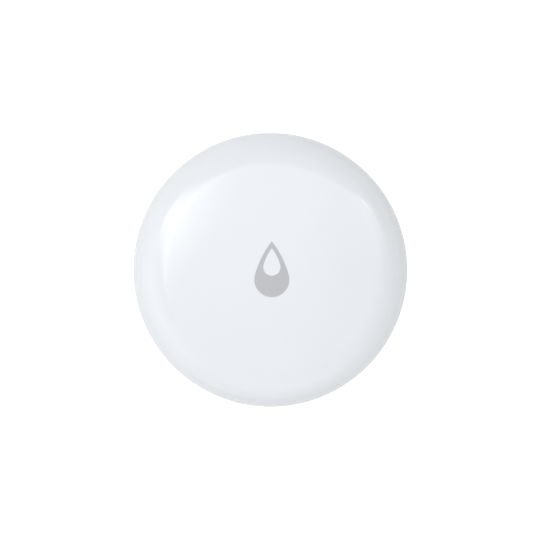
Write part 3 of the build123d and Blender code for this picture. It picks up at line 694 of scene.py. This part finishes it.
def probeBore():
    # the stepped hole of a probe: flared mouth, head, seal gland, shank and insert
    b = base
    below = 0.3  # the flare goes on below the mouth by this much
    return [
        (0, b["underside"] - below), (b["headBore"] + b["mouth"] + below, b["underside"] - below),
        (b["headBore"], b["underside"] + b["mouth"]), (b["headBore"], b["headSeat"]),
        (b["glandRadius"], b["headSeat"]), (b["glandRadius"], b["glandTop"]), (b["shankBore"], b["glandTop"]),
        (b["shankBore"], b["insertFoot"]), (b["glandRadius"], b["insertFoot"]),
        (b["glandRadius"], b["boardRest"] + past), (0, b["boardRest"] + past),
    ]


def sector(name, inner, outer, low, high, span, middle=0, segments=12):
    outline = [(inner, low), (outer, low), (outer, high), (inner, high)]
    return turnPiece(name, outline, segments, span=span, middle=middle)


def makeBase(material):
    b = base
    ring = (b["probeRing"], 0)
    root = b["floor"] - b["sink"]
    ringMiddle = (b["ringInner"] + b["channelInner"]) / 2
    body = turnPiece("baseShell", baseOutline(), b["segments"], closed=True)
    boss = addColumn("boss", b["bossRadius"], root, b["boardRest"], ring)
    rib = radialBar("floorRib", b["hubOuter"] - b["ribRoot"], ringMiddle, b["ribWidth"], root, b["ribTop"])
    foot = addColumn("foot", b["footRadius"], baseLow.z, b["underside"] + b["sink"], ring, b["footEdge"])
    catch = sector("catch", b["ringInner"] - b["catchReach"], ringMiddle, b["catchLow"], b["catchTop"], b["catchSpan"])
    carve(body, repeatAround(boss, (0, 180)) + repeatAround(rib, evenAngles(b["ribs"], b["ribFirst"]))
          + repeatAround(foot, b["footAngles"]) + repeatAround(catch, cap["armMiddles"]), "UNION")
    cheek = radialBar("cheek", b["ringInner"] - b["cheekReach"], ringMiddle, b["cheekWidth"], root, b["catchTop"])
    sides = [middle + side * b["cheekOffset"] for middle in cap["armMiddles"] for side in (-1, 1)]
    rest = b["boardRest"]
    peg = turnPiece("peg", [(0, root), (b["columnRadius"], root), (b["columnRadius"], rest, b["columnEdge"]),
                            (b["pegRadius"], rest), (b["pegRadius"], b["pegTop"], b["softEdge"]), (0, b["pegTop"])],
                    segments=40)
    carve(body, repeatAround(cheek, sides) + repeatAround(movePiece(peg, ring), b["pegAngles"]), "UNION")
    bore = movePiece(turnPiece("bore", probeBore(), segments=64), ring)
    start = b["wellInner"] - past
    span = b["lugSpan"] + 2 * b["lugPlay"]
    entry = sector("entry", start, b["grooveRadius"], b["ledgeLow"] - past, b["grooveTop"], span, -b["turn"])
    slot = addBlock("clipSlot", (*b["clipSlot"], rest + past - b["clipSlotLow"]), b["clipSlotLow"], 0,
                    (0, -b["wellOuter"]))
    carve(body, repeatAround(bore, (0, 180)) + repeatAround(entry, evenAngles(b["lugs"])) + [slot] + lockMarks(),
          "DIFFERENCE")
    # each run starts inside its entry, so it is cut after it
    run = sector("run", start, b["grooveRadius"], b["ledgeTop"], b["grooveTop"], span + b["turn"], -b["turn"] / 2,
                 segments=24)
    carve(body, repeatAround(run, evenAngles(b["lugs"])), "DIFFERENCE")
    return finishPiece(body, material, "base", ["base_housing"])


def lockMarks():
    # a sunk dot where the door's arrow points when it is locked, and a sunk ring where it is open
    b = base
    top = b["underside"] + b["markDepth"]
    low = b["underside"] - past
    dot = addColumn("lockedDot", b["markSize"], low, top, polar(b["markRadius"], b["markAngle"]), b["markEdge"])
    inner = b["markSize"] * b["ringShare"]
    outline = [(inner, low), (b["markSize"], low), (b["markSize"], top), (inner, top)]
    ring = turnPiece("openRing", outline, segments=40, closed=True)
    return [dot, movePiece(ring, polar(b["markRadius"], b["markAngle"] - b["turn"]))]


baseWhite = sparkedAbs("sparkedAbs", "e9eaec", "edeeef")
makeBase(baseWhite)
print("base made")


# Battery door: flange and plug, with a coin slot, stiffening ribs and three bayonet lugs

door = {
    "flange": doorHigh.x, "underside": doorLow.z, "flangeTop": 1.2, "plug": 10.05, "plugWall": 1.2, "plate": 1.6,
    "top": doorHigh.z, "edge": 0.25, "segments": 160, "slot": (13, 2), "slotDepth": 1.3, "mouth": 0.15,
    "slotWall": 0.9, "slotRoof": 0.9, "ribs": 6, "ribWidth": 0.8, "ribTop": 2.3,
    "flangeEdge": 0.1, "plugEdge": 0.15, "fillet": 0.2,
    "lugRadius": 10.76, "lugLow": 2.86, "lugDrop": 0.02, "arrowRadius": 11.3, "arrowSize": 0.62,
}


def stadium(name, size, low, high):
    # a block with round ends, whose roundings just don't meet
    apart = 0.01
    return addBlock(name, (*size, high - low), low, (size[1] - apart) / 2, upright=True, segments=10)


def coinSlot():
    # cut with a flared mouth, so that its edge is broken all round
    d = door
    low = d["underside"] + d["mouth"]
    slot = stadium("coinSlot", d["slot"], low, d["underside"] + d["slotDepth"])
    pickPoints(slot, lambda point: point.z < low * mm + tiny)
    for drop, grow in ((d["mouth"], d["mouth"]), (past, 0)):
        width = [side + 2 * grow for side in d["slot"]]
        bpy.ops.mesh.extrude_region_move(TRANSFORM_OT_translate={"value": (0, 0, -drop * mm)})
        bpy.ops.transform.resize(value=(width[0] / d["slot"][0], width[1] / d["slot"][1], 1))
    closeSkin()
    return slot


def makeDoor(material):
    d = door
    outline = [
        (0, d["underside"]), (d["flange"], d["underside"], d["edge"]),
        (d["flange"], d["flangeTop"], d["flangeEdge"]), (d["plug"], d["flangeTop"]),
        (d["plug"], d["top"], d["plugEdge"]), (d["plug"] - d["plugWall"], d["top"], d["plugEdge"]),
        (d["plug"] - d["plugWall"], d["plate"], d["fillet"]), (0, d["plate"]),
    ]
    body = turnPiece("doorShell", outline, d["segments"])
    wallMiddle = d["plug"] - d["plugWall"] / 2
    rib = radialBar("doorRib", d["slot"][1], wallMiddle, d["ribWidth"], d["flangeTop"], d["ribTop"])
    lug = sector("lug", wallMiddle, d["lugRadius"], d["lugLow"], d["top"] - d["lugDrop"], base["lugSpan"])
    carve(body, repeatAround(rib, evenAngles(d["ribs"], 180 / d["ribs"])) + repeatAround(lug, evenAngles(base["lugs"])),
          "UNION")
    wide = [side + 2 * d["slotWall"] for side in d["slot"]]
    boss = stadium("slotBoss", wide, d["flangeTop"], d["underside"] + d["slotDepth"] + d["slotRoof"])
    carve(body, [boss], "UNION")
    bpy.ops.object.select_all(action="DESELECT")
    bpy.ops.mesh.primitive_cylinder_add(vertices=3, radius=d["arrowSize"] * mm, depth=2 * past * mm)
    arrow = bpy.context.object
    place = Vector((0, d["arrowRadius"], d["underside"] + base["markDepth"] - past)) * mm
    arrow.data.transform(Matrix.Rotation(radians(base["markAngle"] - 90), 4, "Z") @ Matrix.Translation(place))
    carve(body, [coinSlot(), arrow], "DIFFERENCE")
    return finishPiece(body, material, "door", ["battery_door"])


makeDoor(sparkedAbs("doorAbs", "e6e7e9", "ebecee"))
print("door made")


# Probes: a stainless screw with a polished flat head and a cross recess, a washer seal and a knurled insert

probe = {
    "headRadius": 2.75, "headTop": 1.2, "edge": 0.25, "shank": 1.25, "root": 1.03, "pitch": 0.45, "threads": 7,
    "threadStart": 1.75, "runout": 0.2, "top": screwHigh.z, "seatEdge": 0.08, "segments": 72,
    "recess": (2.8, 0.6), "recessDepth": 0.6, "below": 0.3, "taper": 0.72,
}
insert = {
    "outer": 1.95, "inner": 1.28, "grooveRadius": 1.7, "groove": (4.51, 5.71), "edge": 0.12, "teeth": 24,
    "knurl": 0.94, "knurlFrom": 1.75,
}


def crossSlot(name, angle):
    # one bar of the cross recess, which starts below the head and is narrower at its far end
    size = (*probe["recess"], probe["recessDepth"] + probe["below"])
    bar = addBlock(name, size, 0, 0)
    pickPoints(bar, lambda point: point.z > size[2] / 2 * mm)
    bpy.ops.transform.resize(value=(probe["taper"], probe["taper"], 1))
    bpy.ops.object.mode_set(mode="OBJECT")
    bar.data.transform(Matrix.Translation((0, 0, -probe["below"] * mm)) @ Matrix.Rotation(radians(angle), 4, "Z"))
    return bar


def makeProbe(side, angle):
    p = probe
    thread = []  # rings with the thread's profile, in place of its helix
    for i in range(p["threads"]):
        foot = p["threadStart"] + p["pitch"] * i
        thread += [(p["root"], foot), (p["shank"], foot + p["pitch"] / 2)]
    outline = [(0, 0), (p["headRadius"], 0, p["edge"]), (p["headRadius"], p["headTop"], p["seatEdge"]),
               (p["shank"], p["headTop"]), (p["shank"], p["threadStart"] - p["runout"]), *thread,
               (p["root"], p["top"] - p["runout"]), (p["root"] - p["runout"], p["top"]), (0, p["top"])]
    screw = turnPiece("probeScrew_" + side, outline, p["segments"])
    for turned in (0, 90):
        carve(screw, [crossSlot("drive", turned)], "DIFFERENCE")
    place = polar(base["probeRing"], angle)
    movePiece(screw, place)
    finishPiece(screw, turnedMetal("stainless_" + side, "c9c8c5", 0.16, 0.12, place), "base",
                ["probe_screw_" + side])


def makeInsert(side, angle, material):
    n = insert
    low, high = insertLow.z, insertHigh.z
    outline = [(n["inner"], low), (n["outer"], low, n["edge"]), (n["outer"], n["groove"][0]),
               (n["grooveRadius"], n["groove"][0]), (n["grooveRadius"], n["groove"][1]), (n["outer"], n["groove"][1]),
               (n["outer"], high, n["edge"]), (n["inner"], high)]
    piece = turnPiece("probeInsert_" + side, outline, n["teeth"] * 2, closed=True)
    step = pi / n["teeth"]
    pickPoints(piece, lambda point: round(atan2(point.y, point.x) / step) % 2 == 1
               and point.xy.length > n["knurlFrom"] * mm)
    bpy.ops.transform.resize(value=(n["knurl"], n["knurl"], 1), center_override=(0, 0, 0))
    bpy.ops.object.mode_set(mode="OBJECT")
    movePiece(piece, polar(base["probeRing"], angle))
    finishPiece(piece, material, "base", ["probe_insert_" + side], smooth=20)


seals = {
    "probe": {"width": 0.6, "edge": 0.12, "segments": 48},
    "cap": {"width": 1.2, "edge": 0.28, "segments": 160},
    "door": {"width": 0.8, "edge": 0.24, "segments": 128},
}
fineStep = 0.15  # arc step of the seals, the guide and the dome


def softRing(name, node, width, edge, segments):
    low, high = boxOf(node)
    outer = (high.x - low.x) / 2
    inner = outer - width
    outline = [((inner + outer) / 2, low.z), (outer, low.z, edge / 2), (outer, high.z, edge), (inner, high.z, edge),
               (inner, low.z, edge / 2)]
    return turnPiece(name, outline, segments, closed=True, arcStep=fineStep)


rubber = silicone("siliconeRubber", "cfd2d4", "dadcdd")
brass = turnedMetal("turnedBrass", "c9a45c", 0.24, 0.15)
for side, angle in (("left", 180), ("right", 0)):
    makeProbe(side, angle)
    makeInsert(side, angle, brass)
    seal = softRing("probeSeal_" + side, "probe_seal_" + side, **seals["probe"])
    movePiece(seal, polar(base["probeRing"], angle))
    finishPiece(seal, rubber, "base", ["probe_seal_" + side])
print("probes made")


# Seals: the gasket under the cap's tongue, and the door's ring

capTravel = 0.3
gasket = softRing("capGasket", "cap_gasket", **seals["cap"])
finishPiece(gasket, rubber, "base", ["cap_gasket"])
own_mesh(gasket)
finishPiece(softRing("doorSeal", "door_seal", **seals["door"]), rubber, "door", ["door_seal"])
print("seals made")


# Light guide: a clear rod with a collar and a lens-shaped foot, from the indicator up into the cap

guide = {
    "radius": 1.5, "collar": 2.1, "collarLow": 10.17, "collarTop": 10.87, "collarEdge": 0.12, "tipEdge": 0.06,
    "belly": 0.25, "bellyRadius": 1.4,
}


def makeGuide(material):
    g = guide
    reach = g["bellyRadius"]
    lift = guideLow.z + g["belly"]
    bow = (reach**2 + g["belly"]**2) / (2 * g["belly"])
    outline = [(0, guideLow.z), (reach, lift, 0, guideLow.z + bow), (g["radius"], lift), (g["radius"], g["collarLow"]),
               (g["collar"], g["collarLow"], g["collarEdge"]), (g["collar"], g["collarTop"], g["collarEdge"]),
               (g["radius"], g["collarTop"]), (g["radius"], guideHigh.z, g["tipEdge"]), (0, guideHigh.z)]
    rod = movePiece(turnPiece("guideRod", outline, segments=64, arcStep=fineStep), (0, cap["guideY"]))
    finishPiece(rod, material, "cap", ["light_guide"])


makeGuide(clearPolycarbonate())


# Click dome: thin sprung steel under the plunger

dome = {"thickness": 0.08, "travel": capTravel}  # the switch goes down with the cap


def makeDome(material):
    low, high = boxOf("switch_dome")
    rim = (high.x - low.x) / 2
    rise = high.z - low.z
    outer = (rim**2 + rise**2) / (2 * rise)
    inner = outer - dome["thickness"]
    middle = high.z - outer
    outline = [(0, high.z), (rim, low.z, 0, middle), (sqrt(inner**2 - (low.z - middle)**2), low.z),
               (0, middle + inner, 0, middle)]
    piece = turnPiece("clickDome", outline, segments=48, arcStep=fineStep)
    finishPiece(piece, material, "base", ["switch_dome"])
    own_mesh(piece)


springSteel = rolledMetal("springSteel", "b4b3ae", 0.24, 0.2)
makeDome(springSteel)
print("guide and dome made")


# Small chips: a ceramic body between two tinned ends, made once and copied over the board. Their places are shares
# of the board's radius.

chip = {
    "length": 1.6, "width": 0.8, "end": 0.35, "skin": 0.04, "edge": 0.05,
    "capacitors": [(-0.24, -0.4), (-0.11, -0.4), (-0.65, -0.25), (0.44, -0.28), (0.44, -0.39), (0.27, 0.5)],
    "resistors": [(0.02, -0.4), (0.15, -0.4), (0.48, 0.18), (0.48, 0.28), (-0.23, 0.47), (0.16, 0.39)],
}


def makeChips(node, ceramic, tin):
    c = chip
    low, high = boxOf(node)
    tall = high.z - low.z
    moves = [Matrix.Translation((x * boardHigh.x * mm, y * boardHigh.x * mm, 0)) for x, y in c[node]]
    middle = addBlock(node + "Body", (c["length"] - c["end"], c["width"] - c["skin"], tall - c["skin"]), low.z, 0)
    ends = [addBlock(node + "End", (c["end"], c["width"], tall), low.z, c["edge"],
                     (side * (c["length"] - c["end"]) / 2, 0)) for side in (-1, 1)]
    finishPiece(joinPieces(repeatPiece(middle, moves)), ceramic, "base", [node])
    finishPiece(joinPieces(repeatPiece(joinPieces(ends), moves)), tin, "base")


tinned = rolledMetal("tinPlate", "cfcfcb", 0.34, 0.15)
makeChips("capacitors", plainPlastic("tanCeramic", "b08b63", "bd9a72", 0.42, 0.08), tinned)
makeChips("resistors", plainPlastic("blackGlaze", "1c1d20", "26272b", 0.25, 0.1), tinned)
print("chips made")


# Pieces whose CAD shape stays: each gets its own finish

nickelled = rolledMetal("nickelPlatedSteel", "c6c3bb", 0.2, 0.3)
finishes = {
    "battery_can": nickelled,
    "battery_cap": nickelled,
    "battery_grommet": plainPlastic("naturalNylon", "d9d6cb", "e2dfd6", 0.5, 0.2),
    "board_screws": rolledMetal("zincPlatedSteel", "bdc0c3", 0.27, 0.12),
    "circuit_board": solderMask(),
    "negative_spring": springSteel,
    "positive_clip": springSteel,
    "switch_housing": plainPlastic("blackNylon", "1d1e20", "27282a", 0.48, 0.1),
    "switch_frame": tinned,
    "switch_plunger": plainPlastic("brownAcetal", "6f4630", "7a4f38", 0.4, 0.1),
    "switch_terminals": tinned,
    "led_body": plainPlastic("whiteReflector", "ebe9e2", "f2f0ea", 0.45, 0.1),
    "led_lens": clearEpoxy(),
    "radio_chip": plainPlastic("mouldCompound", "202124", "2a2b2e", 0.55, 0.07),
    "radio_pins": tinned,
    "crystal_base": plainPlastic("blackCeramic", "2b2a2d", "353437", 0.5, 0.08),
    "crystal_lid": rolledMetal("kovarLid", "c3bda9", 0.22, 0.2),
    "antenna_trace": rolledMetal("goldFlashedCopper", "cf9a55", 0.3, 0.25),
}
for node, material in finishes.items():
    paintNode(node, material)
print("inside finished:", len(finishes), "nodes painted")


# Floor, lamps and world

# A lamp lies on a sphere about the puck, tilt degrees from straight above and towards azimuth, or flat at its
# height with its middle at a place and turned. Its lengths are in metres, and its light fades in from each edge
# by that share: low is the left and inner edge, high the right and outer edge, seen from the puck.
studio = {
    "floorSize": 6000,
    "floorGlow": 0.4,
    "fadeStart": 60,
    "fadeEnd": 400,
    "fadeLeast": 0.22,
    "worldFill": 0.532,
    "overhead": {"size": (0.79, 0.51), "distance": 0.9, "middle": (-0.168, 0.026), "turn": -12, "radiance": 0.82,
                 "fade": {"low": (0.5, 0.9), "high": (0.25, 0.015)}},
    "key": {"size": (0.54, 0.82), "distance": 0.9, "tilt": 31, "azimuth": 148, "radiance": 2.7,
            "fade": {"low": (0.5, 0.16), "high": (0.5, 0.12)}},
    "side": {"size": (0.36, 0.76), "distance": 0.9, "tilt": 33, "azimuth": 23, "radiance": 0.92,
             "fade": {"low": (0.08, 0.25), "high": (0.6, 0.06)}},
    "tube": {"size": (0.27, 0.13), "distance": 0.9, "middle": (0.69, 0.474), "turn": 12, "radiance": 1.8,
             "fade": {"low": (0.2, 0.3), "high": (0.2, 0.3)}},
    "left": {"size": (2.2, 1.4), "distance": 1.0, "tilt": 62, "azimuth": 185, "radiance": 0.65,
             "fade": {"low": (0.5, 0.5), "high": (0.5, 0.5)}},
    "front": {"size": (2.2, 1.4), "distance": 1.0, "tilt": 62, "azimuth": 292, "radiance": 0.63,
              "fade": {"low": (0.5, 0.5), "high": (0.5, 0.5)}},
}
lampNames = ("overhead", "key", "side", "tube", "left", "front")
lampPower = 4  # watts that a radiance of one takes per square metre of lamp


def addFloor():
    bpy.ops.object.select_all(action="DESELECT")
    bpy.ops.mesh.primitive_circle_add(vertices=128, radius=studio["floorSize"] / 2 * mm, fill_type="NGON")
    floor = bpy.context.object
    floor.name = "floor"
    floor.data.materials.append(floorPaper())


def addSoftbox(name):
    lamp = studio[name]
    if "tilt" in lamp:
        tilted = Matrix.Rotation(radians(-lamp["tilt"]), 4, "X")
        turned = Matrix.Rotation(radians(lamp["azimuth"] - 90), 4, "Z") @ tilted
        place = turned @ Vector((0, 0, lamp["distance"]))
    else:
        turned = Matrix.Rotation(radians(lamp["turn"]), 4, "Z")
        place = Vector((*lamp["middle"], lamp["distance"]))
    bpy.ops.object.light_add(type="AREA", location=place, rotation=turned.to_euler())
    made = bpy.context.object
    made.name = name
    made.data.shape = "RECTANGLE"
    made.data.size, made.data.size_y = lamp["size"]
    made.data.energy = lamp["radiance"] * lampPower * lamp["size"][0] * lamp["size"][1]
    made.visible_camera = False
    made.data.use_nodes = True
    tree = made.data.node_tree
    across = addNode(tree, "ShaderNodeSeparateXYZ", {0: addNode(tree, "ShaderNodeNewGeometry").outputs["Parametric"]})
    strength = 1.0
    for axis in (0, 1):
        for start, end in ((0.0, lamp["fade"]["low"][axis]), (1.0, 1 - lamp["fade"]["high"][axis])):
            fade = addNode(tree, "ShaderNodeMapRange", {"Value": across.outputs[axis], "From Min": start,
                                                        "From Max": end}, interpolation_type="SMOOTHSTEP")
            strength = addNode(tree, "ShaderNodeMath", {0: strength, 1: fade.outputs[0]},
                               operation="MULTIPLY").outputs[0]
    tree.links.new(strength, tree.nodes["Emission"].inputs["Strength"])


def addWorld():
    # white where the camera, gloss or glass sees it, and a plain fill for the rest
    world = bpy.data.worlds.new("studio")
    bpy.context.scene.world = world
    world.use_nodes = True
    tree = world.node_tree
    fill = addNode(tree, "ShaderNodeMapRange", {"Value": whiteRays(tree), "To Min": studio["worldFill"],
                                                "To Max": 1.0})
    tree.links.new(fill.outputs[0], tree.nodes["Background"].inputs["Strength"])
    tree.nodes["Background"].inputs["Color"].default_value = (1, 1, 1, 1)


addFloor()
for lampName in lampNames:
    addSoftbox(lampName)
addWorld()
bpy.context.scene.view_settings.view_transform = "Standard"
print("studio lit")
